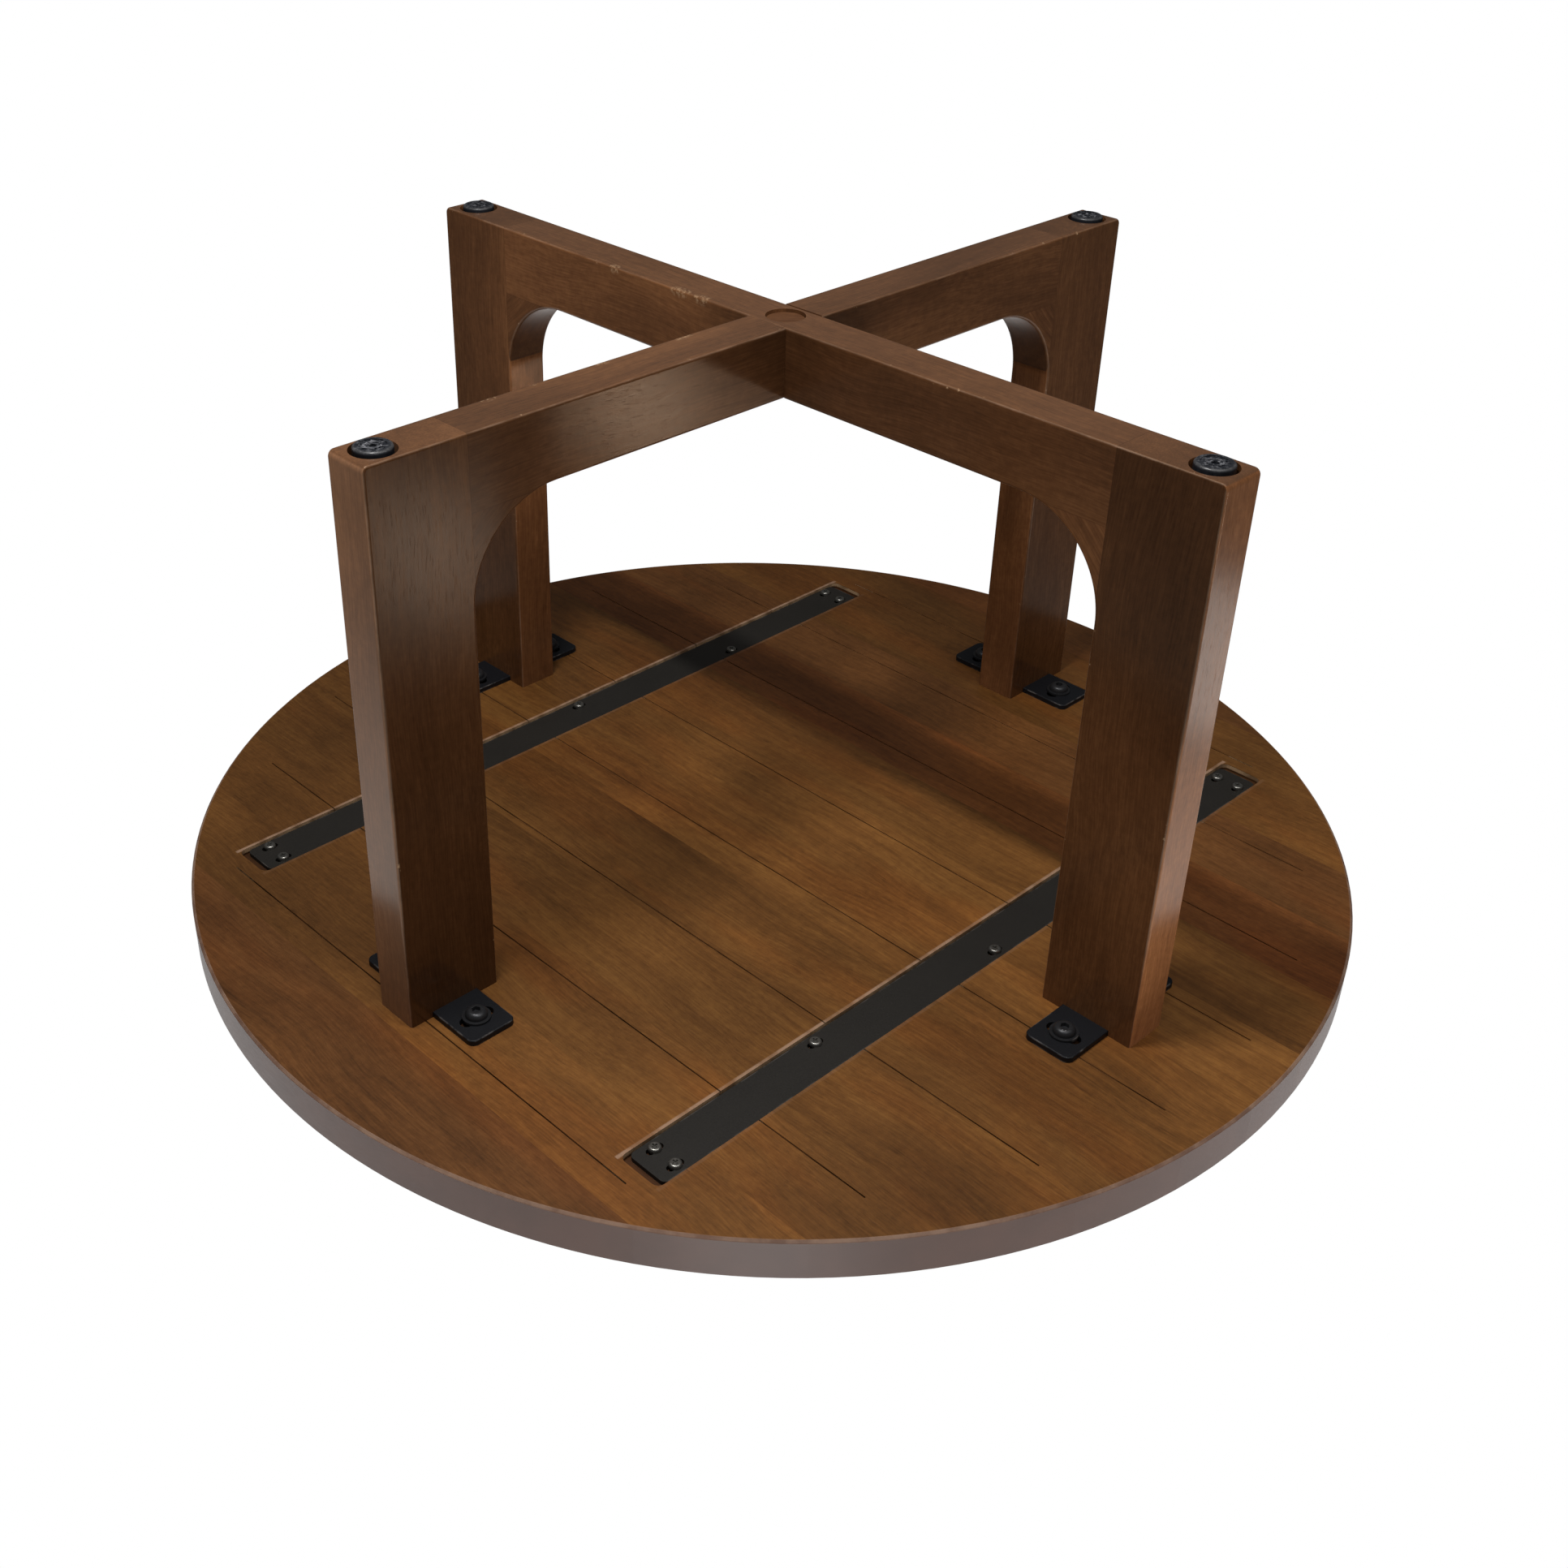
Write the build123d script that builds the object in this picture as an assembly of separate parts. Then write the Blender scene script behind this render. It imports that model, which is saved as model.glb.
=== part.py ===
from build123d import *
import os

# ---------------------------------------------------------------- driving dimensions (mm)
# Upright frame: floor at z = 0, +Z towards the tabletop, origin under the centre of the top.

# round top
top_diameter = 800.0
table_height = 400.0
top_thickness = 29.0
top_edge_chamfer = 1.5
# relative widths of the glued boards, which fill the top from the -X rim; joints run along Y
board_pattern = [70, 62, 56, 73, 72, 62, 60, 60, 61, 64, 60, 52, 48]

# stopped relief kerfs in the underside
kerf_pitch = 89.0
kerf_width = 1.0
kerf_depth = 4.0
kerf_rim_margin = 30.0

# crossed leg frames
top_overhang = 78.0
frame_thickness = 32.0
leg_width = 66.0
rail_depth = 45.0
arch_radius = 60.0
rail_trim = 1.5
leg_trim = 0.5
foot_corner_round = 4.0
frame_edge_round = 1.8
lap_clearance = 0.1

# rail to leg dowels
dowel_diameter = 10.0
dowel_length = 56.0
dowel_edge_distance = 12.0
dowel_chamfer = 1.0

# centre joint screw and plug
plug_diameter = 24.8
plug_recess = 2.0
plug_thickness = 7.0
plug_edge_round = 0.6
lap_screw_diameter = 5.0
lap_screw_cover = 5.0
lap_screw_head_diameter = 10.0
lap_screw_head_height = 3.0

# steel channels let into the underside
channel_leg_distance = 58.0
channel_rim_distance = 105.0
channel_width = 30.0
channel_web = 3.0
channel_flange_height = 12.0
channel_flange_thickness = 2.5
channel_corner_round = 4.0
channel_set_back = 1.5
recess_end_gap = 6.0
recess_side_gap = 1.0
flange_slot_gap = 1.0

# channel screws
channel_end_screw_distance = 14.0
channel_inner_screw_x = 150.0
channel_slot_width = 5.0
channel_slot_length = 12.0
pan_head_diameter = 8.0
pan_head_height = 2.6
pan_head_round = 1.4
drive_width = 1.0
drive_length = 4.0
drive_depth = 1.3
channel_screw_diameter = 4.0
channel_screw_length = 16.0

# mounting plates on the leg tops
plate_width = 34.0
plate_thickness = 4.0
plate_corner_round = 5.0
plate_edge_round = 0.8
plate_fit_gap = 0.2
plate_slot_width = 9.0
plate_slot_length = 24.0
plate_bolt_reach = 21.5
plate_end_distance = 17.5

# plate to leg screws
leg_screw_edge_distance = 8.0
leg_screw_diameter = 5.0
leg_screw_length = 45.0
leg_screw_head_diameter = 9.4
leg_screw_head_height = 2.2

# bolts, washers and inserts that hold the base to the top
bolt_diameter = 8.0
bolt_length = 20.0
bolt_head_diameter = 14.0
bolt_head_height = 4.4
bolt_head_round = 3.3
bolt_socket_flats = 5.0
bolt_socket_depth = 2.6
washer_diameter = 18.0
washer_thickness = 1.5
washer_bore = 8.6
top_insert_diameter = 11.5
top_insert_length = 15.0

# screw-in levelling feet
foot_gap = 2.5
foot_travel_in = 4.0
foot_end_distance = 18.0
foot_pad_diameter = 22.0
foot_pad_thickness = 8.0
foot_pad_edge_round = 1.8
foot_rim_width = 1.6
foot_dish_depth = 0.6
foot_ring_radius = 5.0
foot_ring_width = 1.2
foot_rib_count = 6
foot_rib_width = 1.0
foot_rib_height = 0.4
foot_key_flats = 4.0
foot_key_depth = 2.0
foot_recess_side_gap = 2.25
foot_recess_floor_gap = 1.0
stud_diameter = 7.9
stud_length = 34.8
stud_seat = 3.0
stud_chamfer = 0.8
stud_end_gap = 2.0
stud_hole_diameter = 9.2
leg_insert_diameter = 11.0
leg_insert_length = 18.0

# shared small gaps
hole_gap = 0.05
running_gap = 0.05
screw_gap = 0.1
end_gap = 1.0
rest_gap = 0.2
tool_margin = 20.0
overshoot = 1.0
edge_tolerance = 0.001

# ---------------------------------------------------------------- derived dimensions
top_radius = top_diameter / 2
underside_z = table_height - top_thickness
frame_half_span = top_radius - top_overhang
leg_inner = frame_half_span - leg_width
leg_centre = frame_half_span - leg_width / 2
half_thickness = frame_thickness / 2
rail_top_z = foot_gap + rail_depth
lap_z = foot_gap + rail_depth / 2
seam_x = leg_inner - leg_trim
seam_z = rail_top_z + rail_trim
# half-lap joint
plug_bore_diameter = plug_diameter + 2 * screw_gap
plug_bore_depth = plug_recess + plug_thickness + lap_screw_head_height
lap_screw_seat_z = foot_gap + plug_bore_depth
lap_screw_length = rail_depth - plug_bore_depth - lap_screw_cover
# channels
channel_offset = leg_inner - channel_leg_distance
channel_length = 2 * (top_radius - channel_rim_distance)
channel_face_z = underside_z + channel_set_back
recess_floor_z = channel_face_z + channel_web
channel_screw_row = channel_width / 2 - channel_flange_thickness - pan_head_diameter / 2
channel_end_screw_x = channel_length / 2 - channel_end_screw_distance
# plates and bolts
plate_lower_z = underside_z - plate_thickness
plate_bolt_offset = half_thickness + plate_bolt_reach
plate_length = 2 * (plate_bolt_offset + plate_end_distance)
leg_screw_offset = half_thickness - leg_screw_edge_distance
bolt_seat_z = plate_lower_z - washer_thickness
top_insert_end_z = underside_z + top_insert_length
# levelling feet
foot_axis_offset = frame_half_span - foot_end_distance
foot_recess_diameter = foot_pad_diameter + 2 * foot_recess_side_gap
insert_start_z = foot_pad_thickness + foot_travel_in + foot_recess_floor_gap
insert_end_z = insert_start_z + leg_insert_length
stud_start = stud_seat + rest_gap
stud_top = stud_start + stud_length
stud_hole_top = stud_top + foot_travel_in + stud_end_gap


def box_between(x0, x1, y0, y1, z0, z1):
    centre = Pos((x0 + x1) / 2, (y0 + y1) / 2, (z0 + z1) / 2)
    return centre * Box(x1 - x0, y1 - y0, z1 - z0)


def rod(diameter, z0, z1, x=0.0, y=0.0):
    return Pos(x, y, (z0 + z1) / 2) * Cylinder(diameter / 2, z1 - z0)


def turned(quarters, shape):
    return Rot(0, 0, 90 * quarters) * shape


def rim_edges(shape, z):
    return shape.edges().filter_by(lambda edge: abs(edge.center().Z - z) < edge_tolerance)


def group(solids):
    return Compound(children=solids)


# one leg frame lies along X; quarter turns place the others
# leg 1 is at -X, leg 2 at +Y, leg 3 at +X, leg 4 at -Y
leg_turns = {1: 2, 2: 1, 3: 0, 4: 3}


# ---------------------------------------------------------------- round top
def round_blank():
    disc = rod(top_diameter, underside_z, table_height)
    rims = rim_edges(disc, underside_z) + rim_edges(disc, table_height)
    return chamfer(rims, top_edge_chamfer)


def kerf_cutters():
    end_radius = top_radius - kerf_rim_margin
    cutters = []
    x = kerf_pitch / 2
    while x < end_radius:
        half_run = (end_radius**2 - x**2) ** 0.5
        low = underside_z - tool_margin
        for middle in (-x, x):
            x0, x1 = middle - kerf_width / 2, middle + kerf_width / 2
            cutters.append(box_between(x0, x1, -half_run, half_run, low, underside_z + kerf_depth))
        x += kerf_pitch
    return cutters


def channel_recess(side):
    y = side * channel_offset
    recess_length = channel_length + 2 * recess_end_gap
    recess_width = channel_width + 2 * recess_side_gap
    plan = RectangleRounded(recess_length, recess_width, channel_corner_round + recess_side_gap)
    floor = recess_floor_z - underside_z
    cut = Pos(0, y, underside_z - tool_margin) * extrude(plan, tool_margin + floor)
    slot_run = channel_length / 2 - channel_corner_round + flange_slot_gap
    for edge in (-1, 1):
        middle = y + edge * (channel_width - channel_flange_thickness) / 2
        reach = channel_flange_thickness / 2 + flange_slot_gap
        slot_top = channel_face_z + channel_flange_height + flange_slot_gap
        cut += box_between(-slot_run, slot_run, middle - reach, middle + reach, underside_z, slot_top)
    return cut


def channel_screw_places(side):
    places = []
    for end in (-1, 1):
        for row in (-1, 1):
            places.append((end * channel_end_screw_x, side * channel_offset + row * channel_screw_row))
        places.append((end * channel_inner_screw_x, side * (channel_offset - channel_screw_row)))
    places.append((0.0, side * (channel_offset + channel_screw_row)))
    return places


def top_bolt_places(leg):
    angle = Rot(0, 0, 90 * leg_turns[leg])
    return [angle * Pos(leg_centre, side * plate_bolt_offset, 0) for side in (-1, 1)]


def top_cutters():
    cutters = kerf_cutters() + [channel_recess(side) for side in (-1, 1)]
    pilot = channel_screw_diameter + 2 * screw_gap
    pilot_end = channel_face_z + channel_screw_length + end_gap
    for side in (-1, 1):
        for x, y in channel_screw_places(side):
            cutters.append(rod(pilot, channel_face_z, pilot_end, x, y))
    hole = top_insert_diameter + 2 * hole_gap
    hole_end = max(top_insert_end_z, bolt_seat_z + bolt_length) + end_gap
    for leg in leg_turns:
        for place in top_bolt_places(leg):
            cutters.append(place * rod(hole, underside_z - overshoot, hole_end))
    return cutters


def boards():
    blank = round_blank()
    cutters = top_cutters()
    pattern_scale = top_diameter / sum(board_pattern)
    joints = [-top_radius]
    for share in board_pattern:
        joints.append(joints[-1] + share * pattern_scale)
    pieces = []
    for x0, x1 in zip(joints, joints[1:]):
        slab = box_between(x0, x1, -top_radius, top_radius, underside_z, table_height)
        board = blank & slab
        for cutter in cutters:
            limits = cutter.bounding_box()
            if limits.max.X > x0 and limits.min.X < x1:
                board -= cutter
        pieces.append(board)
    return pieces


# ---------------------------------------------------------------- leg frames
def frame_form():
    height = underside_z - foot_gap
    outer = Pos(0, foot_gap + height / 2) * Rectangle(2 * frame_half_span, height)
    outer = fillet(outer.vertices().sort_by(Axis.Y)[:2], foot_corner_round)
    opening_height = underside_z - rail_top_z + tool_margin
    opening = Pos(0, rail_top_z + opening_height / 2) * Rectangle(2 * leg_inner, opening_height)
    opening = fillet(opening.vertices().sort_by(Axis.Y)[:2], arch_radius)
    form = extrude(Plane.XZ * (outer - opening), half_thickness, both=True)

    def on_outline(edge):
        place = edge.center()
        on_face = abs(abs(place.Y) - half_thickness) < edge_tolerance
        return on_face and place.Z < underside_z - edge_tolerance

    return fillet(form.edges().filter_by(on_outline), frame_edge_round)


def dowel_places():
    return [foot_gap + dowel_edge_distance, rail_top_z - dowel_edge_distance]


def dowel_bore(end, z):
    half_run = dowel_length / 2 + end_gap
    bore = Rot(0, 90, 0) * Cylinder(dowel_diameter / 2 + hole_gap, 2 * half_run)
    return Pos(end * seam_x, 0, z) * bore


def rail(form, lap_below):
    reach = half_thickness + overshoot
    piece = form & box_between(-seam_x, seam_x, -reach, reach, foot_gap, seam_z)
    lap = half_thickness + lap_clearance
    if lap_below:
        piece -= box_between(-lap, lap, -reach, reach, foot_gap - overshoot, lap_z)
    else:
        piece -= box_between(-lap, lap, -reach, reach, lap_z, seam_z + overshoot)
    for end in (-1, 1):
        for z in dowel_places():
            piece -= dowel_bore(end, z)
    return piece


def centre_bores():
    shank = lap_screw_diameter + 2 * screw_gap
    bores = rod(plug_bore_diameter, foot_gap - tool_margin, lap_screw_seat_z)
    bores += rod(shank, foot_gap, lap_screw_seat_z + lap_screw_length + end_gap)
    return bores


def leg(form):
    reach = half_thickness + overshoot
    outer = frame_half_span + overshoot
    piece = form & box_between(seam_x, outer, -reach, reach, foot_gap, underside_z)
    for z in dowel_places():
        piece -= dowel_bore(1, z)
    # notch for the mounting plate
    half_notch = plate_width / 2 + plate_fit_gap
    low, high = leg_centre - half_notch, leg_centre + half_notch
    piece -= box_between(low, high, -reach, reach, plate_lower_z, underside_z + overshoot)
    # pilot holes for the plate screws
    pilot = leg_screw_diameter + 2 * screw_gap
    pilot_end = underside_z - leg_screw_length - end_gap
    for side in (-1, 1):
        piece -= rod(pilot, pilot_end, underside_z, leg_centre, side * leg_screw_offset)
    # recess, insert hole and stud hole for the levelling foot
    insert_hole = leg_insert_diameter + 2 * hole_gap
    piece -= rod(foot_recess_diameter, 0, insert_start_z, foot_axis_offset)
    piece -= rod(insert_hole, insert_start_z - overshoot, insert_end_z, foot_axis_offset)
    piece -= rod(stud_hole_diameter, insert_end_z - overshoot, stud_hole_top, foot_axis_offset)
    return piece


def corner_block(form):
    reach = half_thickness + overshoot
    return form & box_between(leg_inner - arch_radius, seam_x, -reach, reach, seam_z, underside_z)


def dowels():
    pieces = []
    for quarters in leg_turns.values():
        for z in dowel_places():
            body = Cylinder(dowel_diameter / 2, dowel_length)
            body = chamfer(body.edges().filter_by(GeomType.CIRCLE), dowel_chamfer)
            pieces.append(turned(quarters, Pos(seam_x, 0, z) * Rot(0, 90, 0) * body))
    return pieces


# ---------------------------------------------------------------- centre joint
def centre_plug():
    low = foot_gap + plug_recess
    body = rod(plug_diameter, low, low + plug_thickness)
    return fillet(rim_edges(body, low), plug_edge_round)


def lap_screw():
    head_z = lap_screw_seat_z - lap_screw_head_height
    screw = rod(lap_screw_head_diameter, head_z, lap_screw_seat_z)
    return screw + rod(lap_screw_diameter, lap_screw_seat_z, lap_screw_seat_z + lap_screw_length)


# ---------------------------------------------------------------- steel channels
def channel(side):
    y = side * channel_offset
    plan = RectangleRounded(channel_length, channel_width, channel_corner_round)
    body = Pos(0, y, channel_face_z) * extrude(plan, channel_web)
    half_run = channel_length / 2 - channel_corner_round
    top = channel_face_z + channel_flange_height
    for edge in (-1, 1):
        outer = y + edge * channel_width / 2
        inner = outer - edge * channel_flange_thickness
        low, high = min(outer, inner), max(outer, inner)
        body += box_between(-half_run, half_run, low, high, channel_face_z, top)
    slot = SlotOverall(channel_slot_length, channel_slot_width)
    for x, place_y in channel_screw_places(side):
        slot_place = Pos(x, place_y, channel_face_z - overshoot)
        body -= slot_place * extrude(slot, channel_web + 2 * overshoot)
    return body


def channel_screw():
    # head below, shank up; origin on the seat under the head
    head = Pos(0, 0, -pan_head_height / 2) * Cylinder(pan_head_diameter / 2, pan_head_height)
    head = fillet(rim_edges(head, -pan_head_height), pan_head_round)
    cross = Rectangle(drive_length, drive_width) + Rectangle(drive_width, drive_length)
    head -= Pos(0, 0, -pan_head_height) * extrude(cross, drive_depth)
    return head + rod(channel_screw_diameter, 0, channel_screw_length)


# ---------------------------------------------------------------- mounting hardware
def mounting_plate():
    plan = RectangleRounded(plate_width, plate_length, plate_corner_round)
    body = Pos(leg_centre, 0, plate_lower_z) * extrude(plan, plate_thickness)
    body = fillet(rim_edges(body, plate_lower_z), plate_edge_round)
    slot = SlotOverall(plate_slot_length, plate_slot_width)
    for side in (-1, 1):
        bolt_place = Pos(leg_centre, side * plate_bolt_offset, plate_lower_z - overshoot)
        body -= bolt_place * extrude(slot, plate_thickness + 2 * overshoot)
        body -= Pos(leg_centre, side * leg_screw_offset, underside_z) * leg_screw_form(screw_gap)
    return body


def leg_screw_form(gap):
    # countersunk screw pointing down from z = 0
    head_radius = leg_screw_head_diameter / 2 + gap
    shank_radius = leg_screw_diameter / 2 + gap
    cone_middle = Pos(0, 0, -leg_screw_head_height / 2)
    head = cone_middle * Cone(shank_radius, head_radius, leg_screw_head_height)
    return head + rod(2 * shank_radius, -leg_screw_length, -leg_screw_head_height)


def button_bolt():
    # head below, shank up; origin on the seat under the head
    head = Pos(0, 0, -bolt_head_height / 2) * Cylinder(bolt_head_diameter / 2, bolt_head_height)
    head = fillet(rim_edges(head, -bolt_head_height), bolt_head_round)
    socket = RegularPolygon(bolt_socket_flats / 2, 6, major_radius=False)
    head -= Pos(0, 0, -bolt_head_height) * extrude(socket, bolt_socket_depth)
    return head + rod(bolt_diameter, 0, bolt_length)


def washer():
    ring = Pos(0, 0, -washer_thickness / 2) * Cylinder(washer_diameter / 2, washer_thickness)
    return ring - rod(washer_bore, -washer_thickness - overshoot, overshoot)


def top_insert():
    sleeve = rod(top_insert_diameter, 0, top_insert_length)
    bore = bolt_diameter + 2 * hole_gap
    return sleeve - rod(bore, -overshoot, top_insert_length + overshoot)


def leg_insert():
    sleeve = rod(leg_insert_diameter, insert_start_z, insert_end_z, foot_axis_offset)
    bore = stud_diameter + 2 * running_gap
    return sleeve - rod(bore, 0, insert_end_z + overshoot, foot_axis_offset)


# ---------------------------------------------------------------- levelling feet
def foot_pad():
    radius = foot_pad_diameter / 2
    pad = rod(foot_pad_diameter, 0, foot_pad_thickness)
    pad = fillet(rim_edges(pad, 0) + rim_edges(pad, foot_pad_thickness), foot_pad_edge_round)
    dish_radius = radius - foot_pad_edge_round - foot_rim_width
    pad -= rod(2 * dish_radius, -overshoot, foot_dish_depth)
    # inner ring and ribs stand inside the dish, lower than the rim
    rib_z = foot_dish_depth - foot_rib_height
    ring_inner = foot_ring_radius - foot_ring_width
    pad += rod(2 * foot_ring_radius, rib_z, foot_pad_thickness / 2)
    pad -= rod(2 * ring_inner, -overshoot, foot_dish_depth)
    half_rib = foot_rib_width / 2
    rib_end = dish_radius + foot_rim_width / 2
    rib_top = foot_dish_depth + foot_rib_height
    rib = box_between(foot_ring_radius - foot_ring_width / 2, rib_end, -half_rib, half_rib, rib_z, rib_top)
    for index in range(foot_rib_count):
        pad += Rot(0, 0, 360 / foot_rib_count * index) * rib
    key = RegularPolygon(foot_key_flats / 2, 6, major_radius=False)
    pad -= extrude(key, foot_key_depth)
    pad -= rod(stud_diameter + 2 * running_gap, stud_seat, foot_pad_thickness + overshoot)
    return Pos(foot_axis_offset, 0, 0) * pad


def foot_stud():
    body = rod(stud_diameter, stud_start, stud_top)
    body = chamfer(body.edges().filter_by(GeomType.CIRCLE), stud_chamfer)
    return Pos(foot_axis_offset, 0, 0) * body


# ---------------------------------------------------------------- build every node
os.makedirs("parts", exist_ok=True)


def save(name, shape):
    shape.label = name
    export_step(shape, f"parts/{name}.step")


for number, board in enumerate(boards(), start=1):
    save(f"top_board_{number:02d}", board)

form = frame_form()
save("rail_x", rail(form, lap_below=True) - centre_bores())
save("rail_y", turned(1, rail(form, lap_below=False)) - centre_bores())
leg_piece = leg(form)
block_piece = corner_block(form)
plate_piece = mounting_plate()
pad_piece = foot_pad()
stud_piece = foot_stud()
for number, quarters in leg_turns.items():
    save(f"leg_{number}", turned(quarters, leg_piece))
    save(f"corner_block_{number}", turned(quarters, block_piece))
    save(f"mounting_plate_{number}", turned(quarters, plate_piece))
    save(f"foot_pad_{number}", turned(quarters, pad_piece))
    save(f"foot_stud_{number}", turned(quarters, stud_piece))

save("rail_dowels", group(dowels()))
save("centre_plug", centre_plug())
save("centre_screw", lap_screw())

for number, side in enumerate((1, -1), start=1):
    save(f"steel_channel_{number}", channel(side))
    screw = channel_screw()
    places = channel_screw_places(side)
    save(f"channel_screws_{number}", group([Pos(x, y, channel_face_z) * screw for x, y in places]))

bolt_seats = [place for leg_number in leg_turns for place in top_bolt_places(leg_number)]
save("base_bolts", group([place * Pos(0, 0, bolt_seat_z) * button_bolt() for place in bolt_seats]))
save("base_washers", group([place * Pos(0, 0, plate_lower_z) * washer() for place in bolt_seats]))
save("top_inserts", group([place * Pos(0, 0, underside_z) * top_insert() for place in bolt_seats]))

screw_places = [(leg_centre, side * leg_screw_offset) for side in (-1, 1)]
leg_screws = [
    turned(quarters, Pos(x, y, underside_z) * leg_screw_form(0))
    for quarters in leg_turns.values()
    for x, y in screw_places
]
save("plate_screws", group(leg_screws))
save("leg_inserts", group([turned(quarters, leg_insert()) for quarters in leg_turns.values()]))
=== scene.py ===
import math

import bpy
from mathutils import Matrix, Vector


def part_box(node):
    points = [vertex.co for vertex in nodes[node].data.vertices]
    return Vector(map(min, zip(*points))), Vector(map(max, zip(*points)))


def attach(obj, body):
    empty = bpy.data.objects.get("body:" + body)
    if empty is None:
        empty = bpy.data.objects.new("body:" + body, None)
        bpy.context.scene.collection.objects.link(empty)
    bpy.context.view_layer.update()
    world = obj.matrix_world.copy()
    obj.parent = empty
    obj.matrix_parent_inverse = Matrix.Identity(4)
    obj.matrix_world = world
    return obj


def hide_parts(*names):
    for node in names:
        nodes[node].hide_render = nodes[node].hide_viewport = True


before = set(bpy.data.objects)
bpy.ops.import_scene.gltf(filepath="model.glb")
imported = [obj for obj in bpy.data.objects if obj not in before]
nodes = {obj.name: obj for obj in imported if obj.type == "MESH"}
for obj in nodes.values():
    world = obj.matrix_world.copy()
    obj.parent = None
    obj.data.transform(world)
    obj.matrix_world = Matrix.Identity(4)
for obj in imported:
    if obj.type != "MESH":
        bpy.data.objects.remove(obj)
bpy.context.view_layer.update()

MM = 0.001
ALONG_X = Vector((1, 0, 0))
ALONG_Y = Vector((0, 1, 0))
UP = Vector((0, 0, 1))

# round top
board_names = sorted(name for name in nodes if name.startswith("top_board_"))
top_low, top_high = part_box(board_names[0])
underside = top_low.z
table_height = top_high.z
top_radius = -top_low.x

# channels in its underside
channel_low, channel_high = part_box("steel_channel_1")
channel_end = channel_high.x
channel_middle = (channel_low.y + channel_high.y) / 2
channel_half_width = (channel_high.y - channel_low.y) / 2

# crossed frames, whose seams lie a little beside the edges of the opening
leg_low, leg_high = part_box("leg_1")
half_thickness = leg_high.y
frame_half_span = -leg_low.x
foot_gap = leg_low.z
seam_distance = -leg_high.x
seam_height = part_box("rail_x")[1].z
leg_trim = 0.5 * MM
rail_trim = 1.5 * MM
leg_inner = seam_distance + leg_trim
leg_middle = (frame_half_span + leg_inner) / 2
rail_top = seam_height - rail_trim
arch_radius = 60 * MM
foot_end_distance = 18 * MM

# direction from the centre to each leg
leg_ways = {1: -ALONG_X, 2: ALONG_Y, 3: ALONG_X, 4: -ALONG_Y}

# ---------------------------------------------------------------- camera (metres, degrees)
# the table lies on its top in the picture, so the camera looks from below the floor
camera_place = Vector((-0.7978, 0.7566, -0.3809))
camera_aim = Vector((0.0512, -0.1440, 0.3794))
camera_roll = 0.48
camera_lens = 42.81
camera_sensor = 36.0
camera_shift = (0.0655, -0.0399)

# ---------------------------------------------------------------- light
# for the same reason the picture's white floor is on the +Z side, and its overhead lamps on the -Z side
white = 1.0
ambient_overhead = 0.20
ambient_floor = 0.85
gloss_overhead = 0.05
full_light = math.pi**2
card_tint = (1.0, 0.86, 0.72)


def srgb(red, green, blue):
    """A colour written as 0 to 255 in the usual screen values, made linear."""
    def linear(value):
        value /= 255
        return value / 12.92 if value <= 0.04045 else ((value + 0.055) / 1.055) ** 2.4
    return Vector((linear(red), linear(green), linear(blue)))


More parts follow.
